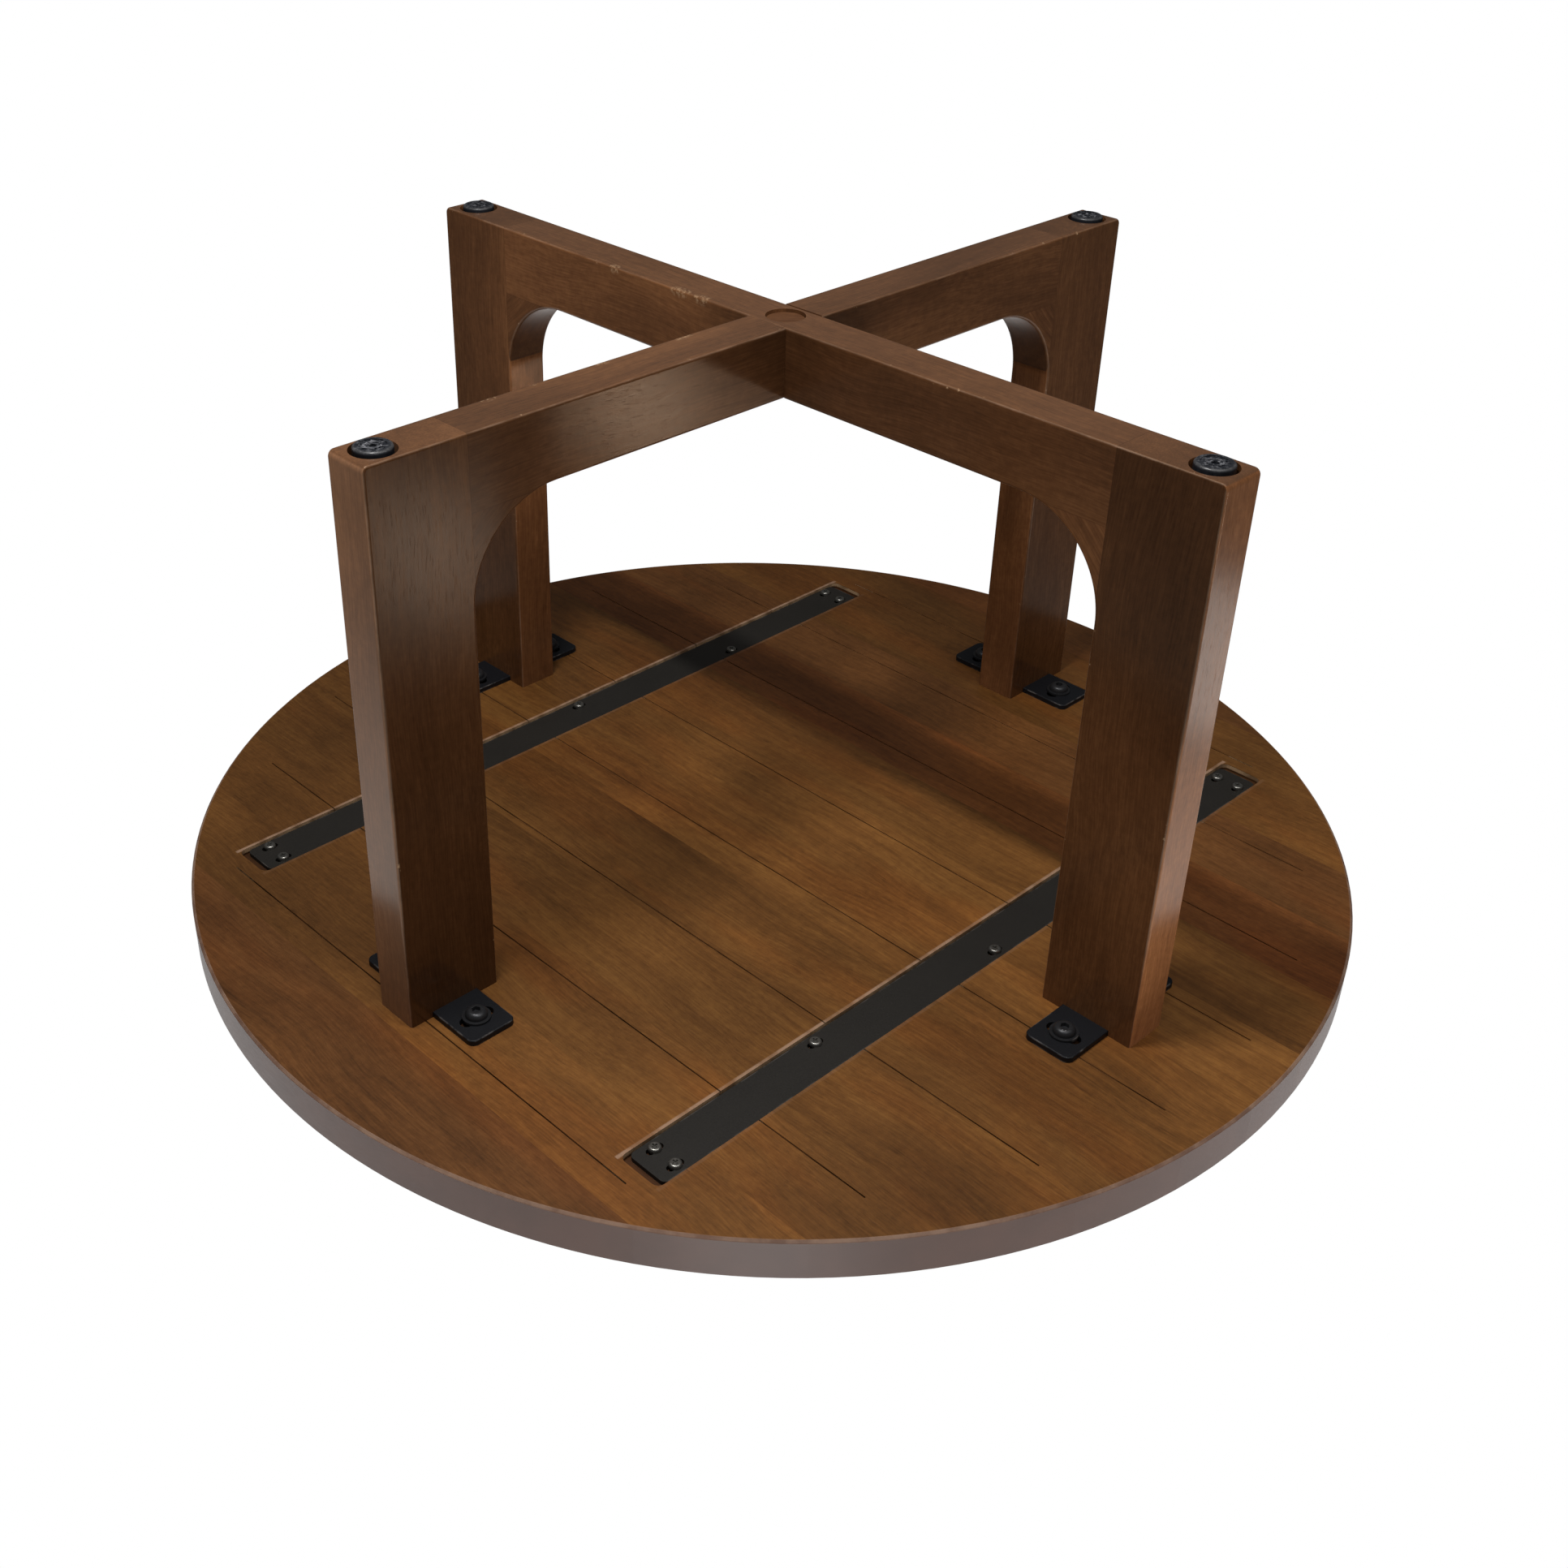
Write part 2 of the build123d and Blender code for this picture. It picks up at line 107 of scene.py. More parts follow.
# ---------------------------------------------------------------- node helpers
class Graph:
    """Builds the nodes of one material; most methods return an output socket."""

    def __init__(self, name):
        self.material = bpy.data.materials.new(name)
        self.material.use_nodes = True
        self.tree = self.material.node_tree
        self.shader = self.tree.nodes["Principled BSDF"]
        self.place = self.add("ShaderNodeTexCoord").outputs["Object"]
        self.x, self.y, self.z = self.split(self.place)

    def add(self, kind, **settings):
        node = self.tree.nodes.new(kind)
        for key, value in settings.items():
            setattr(node, key, value)
        return node

    def feed(self, socket, value):
        """Links an output socket to an input, or sets a number, vector or colour on it."""
        if isinstance(value, bpy.types.NodeSocket):
            self.tree.links.new(value, socket)
        elif isinstance(value, Vector) and socket.type == "RGBA":
            socket.default_value = (*value, 1.0)
        else:
            socket.default_value = value

    def split(self, vector):
        node = self.add("ShaderNodeSeparateXYZ")
        self.feed(node.inputs[0], vector)
        return tuple(node.outputs)

    def math(self, operation, *values):
        node = self.add("ShaderNodeMath", operation=operation)
        for socket, value in zip(node.inputs, values):
            self.feed(socket, value)
        return node.outputs[0]

    def vector(self, operation, *values, result="Vector"):
        node = self.add("ShaderNodeVectorMath", operation=operation)
        for socket, value in zip(node.inputs, values):
            self.feed(socket, value)
        return node.outputs[result]

    def scaled(self, vector, factor):
        """A vector or a colour times a factor that may be a socket."""
        node = self.add("ShaderNodeVectorMath", operation="SCALE")
        self.feed(node.inputs[0], vector)
        self.feed(node.inputs["Scale"], factor)
        return node.outputs[0]

    def noise(self, place, scale, detail=2.0, rough=0.5, result="Fac"):
        node = self.add("ShaderNodeTexNoise")
        for name, value in (("Vector", place), ("Scale", scale), ("Detail", detail), ("Roughness", rough)):
            self.feed(node.inputs[name], value)
        return node.outputs[result]

    def fade(self, value, start, end, low=0.0, high=1.0):
        """Goes smoothly from low at start to high at end, and stays level outside."""
        node = self.add("ShaderNodeMapRange", interpolation_type="SMOOTHSTEP")
        if start > end:
            start, end, low, high = end, start, high, low
        for name, number in (("From Min", start), ("From Max", end), ("To Min", low), ("To Max", high)):
            self.feed(node.inputs[name], number)
        self.feed(node.inputs["Value"], value)
        return node.outputs["Result"]

    def mix(self, factor, first, second):
        """From the first colour at 0 to the second at 1."""
        node = self.add("ShaderNodeMix", data_type="RGBA")
        self.feed(node.inputs[0], factor)
        self.feed(node.inputs[6], first)
        self.feed(node.inputs[7], second)
        return node.outputs[2]

    def mix_value(self, factor, first, second):
        node = self.add("ShaderNodeMix")
        self.feed(node.inputs[0], factor)
        self.feed(node.inputs[2], first)
        self.feed(node.inputs[3], second)
        return node.outputs[0]

    def ramp(self, value, stops):
        node = self.add("ShaderNodeValToRGB")
        elements = node.color_ramp.elements
        while len(elements) < len(stops):
            elements.new(0.5)
        for element, (position, colour) in zip(elements, stops):
            element.position = position
            element.color = (*colour, 1.0)
        self.feed(node.inputs[0], value)
        return node.outputs["Color"]

    def both(self, *masks):
        result = masks[0]
        for mask in masks[1:]:
            result = self.math("MULTIPLY", result, mask)
        return result

    def either(self, *masks):
        result = masks[0]
        for mask in masks[1:]:
            result = self.math("MAXIMUM", result, mask)
        return result

    def stretched(self, place, direction, factor):
        """The place with its part along a direction shortened, so that textures run that way."""
        along = self.vector("DOT_PRODUCT", place, direction, result="Value")
        shift = self.scaled(direction, self.math("MULTIPLY", along, factor - 1))
        return self.vector("ADD", place, shift)

    def warped(self, place, scale, amount):
        """The place moved about softly, so that textures bend."""
        bend = self.noise(place, scale, result="Color")
        bend = self.vector("SUBTRACT", bend, Vector((0.5, 0.5, 0.5)))
        return self.vector("ADD", place, self.scaled(bend, amount))

    def from_axis(self):
        """Distance from the vertical axis through the centre."""
        flat = self.vector("MULTIPLY", self.place, ALONG_X + ALONG_Y)
        return self.vector("LENGTH", flat, result="Value")

    def near_edges(self, low, high, width):
        """1 along the edges of a box, 0 on its faces and inside."""
        depths = []
        for value, start, end in zip((self.x, self.y, self.z), low, high):
            near = self.math("SUBTRACT", value, start)
            far = self.math("SUBTRACT", end, value)
            depths.append(self.math("MINIMUM", near, far))
        least = self.math("MINIMUM", depths[0], depths[1])
        most = self.math("MAXIMUM", depths[0], depths[1])
        middle = self.math("MAXIMUM", least, self.math("MINIMUM", most, depths[2]))
        return self.fade(middle, width, width * 0.3)

    def near(self, value, centre, width):
        """1 where the value is within width of a centre."""
        gap = self.math("ABSOLUTE", self.math("SUBTRACT", value, centre))
        return self.fade(gap, width, width * 0.4)

    def spot(self, centre, radius, ragged):
        """1 in a small ragged spot."""
        gap = self.vector("DISTANCE", self.place, Vector(centre), result="Value")
        uneven = self.noise(self.place, 0.9 / radius, detail=3.0)
        gap = self.math("ADD", gap, self.math("MULTIPLY", uneven, ragged * 2 * radius))
        return self.fade(gap, radius * (1 + ragged), radius * (0.7 + ragged))

    def faces(self, direction):
        """1 on faces that look along a direction or against it."""
        normal = self.add("ShaderNodeNewGeometry").outputs["True Normal"]
        local = self.add("ShaderNodeVectorTransform", vector_type="NORMAL", convert_from="WORLD")
        local.convert_to = "OBJECT"
        self.feed(local.inputs[0], normal)
        part = self.vector("DOT_PRODUCT", local.outputs[0], direction, result="Value")
        return self.fade(self.math("ABSOLUTE", part), 0.6, 0.8)

    def bump(self, height, distance, strength):
        node = self.add("ShaderNodeBump")
        self.feed(node.inputs["Height"], height)
        self.feed(node.inputs["Distance"], distance)
        self.feed(node.inputs["Strength"], strength)
        return node.outputs["Normal"]

    def finish(self, colour, roughness, normal, specular=0.5, metallic=0.0, tint=Vector((1, 1, 1))):
        """Feeds the shader and gives the material."""
        values = {
            "Base Color": colour,
            "Roughness": roughness,
            "Normal": normal,
            "Specular IOR Level": specular,
            "Metallic": metallic,
            "Specular Tint": tint,
        }
        for name, value in values.items():
            self.feed(self.shader.inputs[name], value)
        return self.material


def paint(node, material):
    """Gives a piece of the frame its material."""
    nodes[node].material_slots[0].material = material


# ---------------------------------------------------------------- wood
# dark, middle and light part of each stain
golden_stain = (srgb(78, 48, 19), srgb(111, 71, 31), srgb(138, 93, 43))
brown_stain = (srgb(70, 43, 19), srgb(103, 64, 30), srgb(128, 83, 42))
red_stain = (srgb(72, 39, 16), srgb(110, 65, 29), srgb(138, 84, 40))
frame_stain = (srgb(52, 31, 17), srgb(75, 47, 27), srgb(98, 64, 38))
rim_lacquer = srgb(96, 63, 48)
worn_lacquer = srgb(168, 136, 112)
bare_wood = srgb(178, 146, 112)
# the dark of the seams, also used for the painted shade under the mounting plates
dark_seam_and_shade = srgb(24, 14, 9)
# painted shade inside the kerfs and the channels' recesses
painted_cut_shade = srgb(46, 26, 15)
dusty_kerf = srgb(150, 104, 66)
# a grey for painted sheen on the frame's level faces and end faces
sheen_grey = srgb(128, 112, 98)

# where the parts of a stain lie on the figure's value, and how far each step of the seed shifts the noises
stain_places = (0.25, 0.5, 0.75)
figure_step = Vector((1.7, 3.1, 2.3))
blotch_step = Vector((2.9, 0.7, 1.9))


def stained(g, value, stain, tone):
    """The parts of a stain spread over the value of the wood's figure."""
    stops = [(place, colour * tone) for place, colour in zip(stain_places, stain)]
    return g.ramp(value, stops)


def pored(g, colour, pores, stain, depth):
    """The colour, darker in the pores."""
    return g.mix(g.math("MULTIPLY", pores, depth), colour, stain[0] * 0.6)


def wood_figure(g, direction, seed, streaks):
    """Value of the soft figure for the colour, fine fibre marks, and dark pores."""
    place = g.vector("ADD", g.place, figure_step * seed)
    place = g.warped(place, 4.5, 0.03)
    broad = g.noise(g.stretched(place, direction, 0.16), 20.0, 2.0)
    bands = g.noise(g.stretched(place, direction, 0.045), 170.0, 4.0, 0.6)
    layers = g.noise(g.stretched(place, direction, 0.10), 13.0, 1.0)
    rings = g.math("SINE", g.math("MULTIPLY", layers, 150.0))
    fibres = g.noise(g.stretched(place, direction, 0.05), 900.0, 3.0, 0.6)
    mottle = g.noise(place, 210.0, 3.0, 0.6)
    pores = g.noise(g.stretched(place, direction, 0.07), 1500.0, 1.0)
    value = g.math("MULTIPLY_ADD", g.math("SUBTRACT", broad, 0.5), 0.46, 0.5)
    value = g.math("MULTIPLY_ADD", g.math("SUBTRACT", bands, 0.5), 0.34 * streaks, value)
    value = g.math("MULTIPLY_ADD", rings, 0.022 * streaks, value)
    value = g.math("MULTIPLY_ADD", g.math("SUBTRACT", fibres, 0.5), 0.42, value)
    value = g.math("MULTIPLY_ADD", g.math("SUBTRACT", mottle, 0.5), 0.22, value)
    return value, fibres, g.fade(pores, 0.62, 0.76)


def blotched(g, colour, seed, low, high):
    """The colour with soft patches where the stain took less or more, from a low tone to a high one."""
    place = g.vector("ADD", g.place, blotch_step * seed)
    return g.scaled(colour, g.fade(g.noise(place, 9.0, 3.0, 0.5), 0.3, 0.7, low, high))


# ---------------------------------------------------------------- boards of the top
rim_blend = 2.2 * MM
rim_zone = 1.2 * MM
arris_width = 1.9 * MM
recess_reach = channel_half_width + 3 * MM
plate_half_width = 18 * MM
plate_reach = 56 * MM
plate_reach_inner = 52 * MM
ruddy_tint = Vector((1.14, 0.95, 0.78))
# painted shade: the boards get darker towards -Y, standing in for light that is weaker there
painted_falloff_from, painted_falloff_at, painted_falloff_tone = 0.06, -0.20, 0.76

# tone, stain and strength of the streaks, from the -X rim to the +X rim
board_looks = (
    (1.02, brown_stain, 1.2),
    (1.02, golden_stain, 0.6),
    (1.02, golden_stain, 0.5),
    (0.84, golden_stain, 1.0),
    (0.85, golden_stain, 0.9),
    (1.10, golden_stain, 1.2),
    (1.08, golden_stain, 1.0),
    (1.02, golden_stain, 0.9),
    (0.96, red_stain, 0.7),
    (1.00, brown_stain, 0.7),
    (0.96, golden_stain, 0.6),
    (0.82, golden_stain, 0.6),
    (0.76, brown_stain, 0.6),
)


def flamed_and_shaded(g, colour):
    """Ruddy flames along the boards, and painted shade that makes them darker towards -Y."""
    flame = g.noise(g.stretched(g.warped(g.place, 6.0, 0.05), ALONG_Y, 0.22), 16.0, 3.0, 0.55)
    ruddy = g.vector("MULTIPLY", colour, ruddy_tint)
    colour = g.mix(g.fade(flame, 0.48, 0.66, 0.0, 0.60), colour, ruddy)
    return g.scaled(colour, g.fade(g.y, painted_falloff_at, painted_falloff_from, painted_falloff_tone, 1.0))


def painted_shade_under_plates(g):
    """1 on the underside where the mounting plates sit, for the painted shade under them."""
    across, along = g.math("ABSOLUTE", g.x), g.math("ABSOLUTE", g.y)
    outward = g.near(g.math("MAXIMUM", across, along), leg_middle, plate_half_width)
    sideways = g.fade(g.math("MINIMUM", across, along), plate_reach, plate_reach_inner)
    below_board = g.fade(g.z, underside + 1.0 * MM, underside + 0.5 * MM)
    return g.both(outward, sideways, below_board)


def cut_walls(g):
    """1 inside the kerfs and the channels' recesses."""
    inside = g.fade(g.z, underside + 0.1 * MM, underside + 0.4 * MM)
    away_from_rim = g.fade(g.from_axis(), top_radius - 8 * MM, top_radius - 12 * MM)
    below_top = g.fade(g.z, table_height - 0.3 * MM, table_height - 0.6 * MM)
    return g.both(inside, away_from_rim, below_top)


def worn_beside_channels(g, from_channel, beyond_middle):
    """1 on a thin line along each channel, strongest on its -Y side."""
    line = g.near(from_channel, channel_half_width + 1.8 * MM, 1.9 * MM)
    level = g.fade(g.z, underside + 0.3 * MM, underside + 0.1 * MM)
    beside_length = g.fade(g.math("ABSOLUTE", g.x), channel_end + 8 * MM, channel_end + 7 * MM)
    side = g.fade(g.math("MULTIPLY", beyond_middle, g.math("SIGN", g.y)), 0.0, -1 * MM, 0.12, 0.85)
    return g.both(line, level, beside_length, side)


def shaded_and_weathered_cuts(g, colour):
    """Painted shade inside the kerfs and the recesses, a dusty fill in the kerfs, and bare wood at the
    edges of the channels' recesses.
    """
    cut_wall = cut_walls(g)
    beyond_middle = g.math("SUBTRACT", g.math("ABSOLUTE", g.y), channel_middle)
    from_channel = g.math("ABSOLUTE", beyond_middle)
    beside_channel = g.fade(from_channel, recess_reach + 2 * MM, recess_reach)
    kerf_fill = g.fade(g.noise(g.place, 34.0, 3.0, 0.6), 0.35, 0.65, 0.1, 0.9)
    shallow = g.fade(g.z, underside + 3.5 * MM, underside + 2.5 * MM)
    ragged = g.fade(g.noise(g.place, 70.0, 3.0), 0.36, 0.60, 0.35, 0.9)
    # painted shade inside the kerfs and the recesses
    colour = g.mix(g.math("MULTIPLY", cut_wall, 0.75), colour, painted_cut_shade)
    colour = g.mix(g.both(cut_wall, g.fade(beside_channel, 0.5, 0.1), kerf_fill), colour, dusty_kerf)
    colour = g.mix(g.both(cut_wall, beside_channel, shallow, ragged), colour, bare_wood)
    worn = worn_beside_channels(g, from_channel, beyond_middle)
    return g.mix(g.math("MULTIPLY", worn, ragged), colour, worn_lacquer)


def sprayed_rim(g, colour):
    """Lacquer on the rim, rubbed pale along its arrises; also gives 1 on the rim and 1 on the arrises."""
    radius = g.from_axis()
    rim = g.fade(radius, top_radius - rim_blend, top_radius - rim_zone)
    clouds = g.fade(g.noise(g.place, 30.0, 3.0, 0.5), 0.3, 0.7, 0.90, 1.10)
    colour = g.mix(rim, colour, g.scaled(rim_lacquer, clouds))
    low_side = g.fade(g.z, underside + arris_width, underside + arris_width * 0.5)
    high_side = g.fade(g.z, table_height - arris_width, table_height - arris_width * 0.5)
    by_rim = g.fade(radius, top_radius - rim_blend, top_radius - 1.6 * MM)
    rubbed = g.fade(g.noise(g.place, 42.0, 4.0, 0.65), 0.35, 0.65, 0.35, 1.0)
    arris = g.both(by_rim, g.either(low_side, g.math("MULTIPLY", high_side, 0.6)), rubbed)
    return g.mix(g.math("MULTIPLY", arris, 0.6), colour, worn_lacquer), rim, arris


def board_material(name, seed, tone, stain, streaks):
    g = Graph("wood_" + name)
    value, fibres, pores = wood_figure(g, ALONG_Y, seed, streaks)
    colour = blotched(g, stained(g, value, stain, tone), seed, 0.82, 1.13)
    # ruddy flames, and painted shade towards -Y
    colour = flamed_and_shaded(g, pored(g, colour, pores, stain, 0.30))
    # painted shade on the boards under the mounting plates
    colour = g.mix(g.math("MULTIPLY", painted_shade_under_plates(g), 0.85), colour, dark_seam_and_shade)
    colour, rim, arris = sprayed_rim(g, shaded_and_weathered_cuts(g, colour))
    roughness = g.math("MULTIPLY_ADD", fibres, 0.14, 0.42)
    roughness = g.math("MULTIPLY_ADD", rim, -0.10, roughness)
    roughness = g.math("MULTIPLY_ADD", arris, 0.30, roughness)
    height = g.math("SUBTRACT", g.math("MULTIPLY", fibres, 0.4), pores)
    height = g.math("MULTIPLY", height, g.math("SUBTRACT", 1.0, rim))
    specular = g.math("MULTIPLY_ADD", rim, 0.43, 0.25)
    return g.finish(colour, roughness, g.bump(height, 0.10 * MM, 0.3), specular)


def dress_boards():
    for number, (name, look) in enumerate(zip(board_names, board_looks), start=1):
        tone, stain, streaks = look
        paint(name, board_material(name, number, tone, stain, streaks))


# ---------------------------------------------------------------- crossed frames
rail_seed, leg_seed, block_seed = 21, 30, 40
lacquer_tint = Vector((1.0, 0.74, 0.52))
level_tone = 1.5
# heights between which the painted light and shade along a member's height changes
painted_fall_heights = (0.05, 0.33)
# painted shade on the rails near where they cross: where it starts and ends, and its tone
lap_shade_inner, lap_shade_outer, lap_shade_tone = 0.02, 0.09, 0.75

# tone: of the stain
# edge_tone_and_light: of the faces that look along the frame, such as a leg's outer face; partly the wood's
# own tone, partly painted light
# fall: painted light and shade, as a tone at the lower and at the upper of the painted_fall_heights
# painted_reach_light: painted light: where along the frame the broad faces start and end to get lighter,
# and how much
# streaks: strength of the grain's bands
# matt: roughness added off the broad faces
# haze: painted sheen on the faces that look along the frame
usual_look = dict(edge_tone_and_light=1.5, painted_fall=(1.0, 1.0), painted_reach_light=None, streaks=0.6, matt=0.0, painted_end_sheen=0.0)
block_look = dict(edge_tone_and_light=0.8, streaks=1.2, matt=0.3)
frame_looks = {
    "rail_x": dict(tone=1.00, painted_reach_light=(0.03, 0.10, 1.25)),
    "rail_y": dict(tone=1.08, painted_reach_light=(0.03, -0.06, 1.8)),
    "leg_1": dict(tone=0.88, edge_tone_and_light=3.1, painted_fall=(1.0, 0.92), painted_end_sheen=0.25),
    "leg_2": dict(tone=0.90, edge_tone_and_light=3.7, painted_fall=(0.85, 1.55)),
    "leg_3": dict(tone=1.18, edge_tone_and_light=2.1),
    "leg_4": dict(tone=1.28, edge_tone_and_light=2.5, painted_fall=(1.0, 0.68), painted_reach_light=(-0.33, -0.275, 1.4)),
    "corner_block_1": dict(tone=1.05, **block_look),
    "corner_block_2": dict(tone=1.50, **block_look),
    "corner_block_3": dict(tone=1.25, **block_look),
    "corner_block_4": dict(tone=1.75, **block_look),
}

# pale marks along the edges that face the floor: distance along the rail and radius
edge_marks = {
    "rail_x": ((-0.072, 9 * MM), (-0.136, 6 * MM), (-0.186, 4 * MM), (-0.218, 6 * MM)),
    "rail_y": ((-0.058, 7 * MM), (-0.078, 9 * MM), (-0.140, 6 * MM)),
}


def outline_depth(g, axis):
    """How deep a place lies inside the outline of the frame that runs along an axis."""
    reach = g.math("ABSOLUTE", (g.x, g.y)[axis])
    from_end = g.math("SUBTRACT", frame_half_span, reach)
    from_floor = g.math("SUBTRACT", g.z, foot_gap)
    beyond = g.math("SUBTRACT", reach, leg_inner - arch_radius)
    below = g.math("SUBTRACT", rail_top + arch_radius, g.z)
    corner = g.add("ShaderNodeCombineXYZ")
    g.feed(corner.inputs[0], g.math("MAXIMUM", beyond, 0.0))
    g.feed(corner.inputs[1], g.math("MAXIMUM", below, 0.0))
    from_arch = g.vector("LENGTH", corner.outputs[0], result="Value")
    from_opening = g.math("SUBTRACT", from_arch, arch_radius)
    return g.math("MINIMUM", g.math("MINIMUM", from_end, from_floor), from_opening)


def frame_tones_and_painted_light(g, colour, axis, broad_face, level_face, look):
    """Gives each way of facing its tone, partly the wood's own and partly painted light, and paints light
    and shade towards the top, along the frame and where the rails cross.
    """
    level = level_tone / (look["tone"] * look["painted_fall"][0])
    # the faces that look along the frame: partly the wood's own tone, partly painted light
    other_faces = g.fade(level_face, 0.0, 1.0, look["edge_tone_and_light"], level)
    colour = g.scaled(colour, g.mix_value(broad_face, other_faces, 1.0))
    # painted light and shade along the height
    colour = g.scaled(colour, g.fade(g.z, *painted_fall_heights, *look["painted_fall"]))
    if look["painted_reach_light"] is None:
        return colour
    start, end, lighter = look["painted_reach_light"]
    # painted light on the broad faces along the frame, and painted shade where the rails cross
    reach = (g.x, g.y)[axis]
    # painted shade near where the rails cross
    painted_lap_shade = g.fade(g.math("ABSOLUTE", reach), lap_shade_inner, lap_shade_outer, lap_shade_tone, 1.0)
    painted_light_by_place = g.math("MULTIPLY", g.fade(reach, start, end, 1.0, lighter), painted_lap_shade)
    return g.scaled(colour, g.mix_value(broad_face, 1.0, painted_light_by_place))


def with_painted_sheen(g, colour, broad_face, level_face, painted_end_sheen):
    """Painted sheen: a grey tone mixed into the level faces, and into the faces that look along the frame.
    """
    colour = g.mix(g.math("MULTIPLY", level_face, 0.10), colour, sheen_grey)
    end_face = g.fade(g.math("ADD", broad_face, level_face), 1.0, 0.0)
    return g.mix(g.math("MULTIPLY", end_face, painted_end_sheen), colour, sheen_grey)


def worn_edges(g, colour, name, axis):
    """Rubbed arrises, chips and chalky marks; also gives 1 on the arrises."""
    side = g.math("SUBTRACT", half_thickness, g.math("ABSOLUTE", (g.y, g.x)[axis]))
    edge = g.math("MAXIMUM", outline_depth(g, axis), side)
    arris = g.fade(edge, 1.3 * MM, 0.5 * MM)
    rubbed = g.fade(g.noise(g.place, 26.0, 4.0, 0.7), 0.42, 0.68, 0.12, 1.0)
    colour = g.mix(g.both(arris, rubbed, 0.30), colour, worn_lacquer)
    chipped = g.fade(g.noise(g.place, 130.0, 3.0, 0.6), 0.66, 0.72)
    colour = g.mix(g.both(g.fade(edge, 2.4 * MM, 1.0 * MM), chipped, 0.7), colour, bare_wood)
    chalky = g.fade(g.noise(g.place, 420.0, 3.0, 0.7), 0.44, 0.60)
    for reach, radius in edge_marks.get(name, ()):
        along, across = (ALONG_X, ALONG_Y) if axis == 0 else (ALONG_Y, ALONG_X)
        place = along * reach - across * half_thickness + UP * foot_gap
        mark = g.both(g.spot(place, radius, 0.5), g.fade(edge, 6.0 * MM, 2.0 * MM), chalky)
        colour = g.mix(g.math("MULTIPLY", mark, 0.5), colour, bare_wood)
    return colour, arris


def seamed(g, colour, seams):
    """Fine dark lines where two members meet; a seam is an axis and a place on it."""
    for axis, centre in seams:
        line = g.near((g.x, g.y, g.z)[axis], centre, 0.35 * MM)
        colour = g.mix(g.math("MULTIPLY", line, 0.25), colour, dark_seam_and_shade)
    return colour


def frame_wood(name, axis, grain, seed, seams):
    """Stained wood of one frame member, rubbed along the edges of the whole frame."""
    look = {**usual_look, **frame_looks[name]}
    g = Graph("wood_" + name)
    value, fibres, pores = wood_figure(g, grain, seed, look["streaks"])
    broad_face = g.faces(ALONG_Y if axis == 0 else ALONG_X)
    level_face = g.faces(UP)
    colour = stained(g, value, frame_stain, look["tone"])
    # per-face tones partly painted light, and painted light and shade along the height and the frame
    colour = frame_tones_and_painted_light(g, colour, axis, broad_face, level_face, look)
    # painted sheen on the level faces and the faces that look along the frame
    colour = with_painted_sheen(g, colour, broad_face, level_face, look["painted_end_sheen"])
    colour = pored(g, blotched(g, colour, seed, 0.88, 1.12), pores, frame_stain, 0.09)
    colour, arris = worn_edges(g, colour, name, axis)
    colour = seamed(g, colour, seams)
    roughness = g.math("MULTIPLY_ADD", fibres, 0.10, 0.12)
    roughness = g.math("ADD", roughness, g.mix_value(broad_face, look["matt"], 0.0))
    roughness = g.math("MULTIPLY_ADD", arris, 0.35, roughness)
    grit = g.math("MULTIPLY", g.noise(g.place, 1900.0, 2.0), 0.3)
    height = g.math("SUBTRACT", g.math("MULTIPLY_ADD", fibres, 0.3, grit), pores)
    normal = g.bump(height, 0.04 * MM, 0.3)
    return g.finish(colour, roughness, normal, specular=0.4, tint=lacquer_tint)


def dress_frames():
    level_seam = (2, seam_height)
    for axis, (name, grain) in enumerate((("rail_x", ALONG_X), ("rail_y", ALONG_Y))):
        seams = ((axis, seam_distance), (axis, -seam_distance), level_seam)
        paint(name, frame_wood(name, axis, grain, rail_seed + axis, seams))
    for number, way in leg_ways.items():
        axis = 0 if way.x else 1
        upright_seam = (axis, way[axis] * seam_distance)
        leg = f"leg_{number}"
        paint(leg, frame_wood(leg, axis, UP, leg_seed + number, (upright_seam,)))
        block = f"corner_block_{number}"
        slope = (way + UP).normalized()
        paint(block, frame_wood(block, axis, slope, block_seed + number, (upright_seam, level_seam)))


# ---------------------------------------------------------------- plug and dowels
plug_seed, dowel_seed = 51, 52


def plain_wood(name, grain, seed, stain):
    """Wood of a small turned piece."""
    g = Graph("wood_" + name)
    value, fibres, pores = wood_figure(g, grain, seed, 0.8)
    colour = pored(g, stained(g, value, stain, 1.35), pores, stain, 0.3)
    roughness = g.math("MULTIPLY_ADD", fibres, 0.16, 0.40)
    return g.finish(colour, roughness, g.bump(fibres, 0.08 * MM, 0.3), specular=0.4)


def dress_joint_wood():
    slanting = (ALONG_X + ALONG_Y).normalized()
    paint("centre_plug", plain_wood("centre_plug", slanting, plug_seed, frame_stain))
    paint("rail_dowels", plain_wood("rail_dowels", ALONG_X, dowel_seed, golden_stain))


# ---------------------------------------------------------------- metal and plastic
# grain: scale of the fine texture; rub: how far the edges are rubbed pale
channel_coat = dict(colour=srgb(35, 32, 28), grain=900.0, rough=0.46, rub=0.25, spec=0.35)
channel_screw_steel = dict(colour=srgb(140, 138, 132), grain=700.0, rough=0.24, rub=0.3, metal=0.9)
plate_coat = dict(colour=srgb(17, 18, 22), grain=1100.0, rough=0.42, rub=0.4, spec=0.3)
bolt_steel = dict(colour=srgb(50, 50, 52), grain=900.0, rough=0.30, rub=0.3, metal=0.5)
washer_steel = dict(colour=srgb(38, 38, 40), grain=900.0, rough=0.34, rub=0.4, metal=0.4)
zinc_steel = dict(colour=srgb(168, 160, 142), grain=500.0, rough=0.26, rub=0.2, metal=0.9)
rubbed_metal = srgb(120, 112, 106)
nylon = srgb(27, 29, 34)
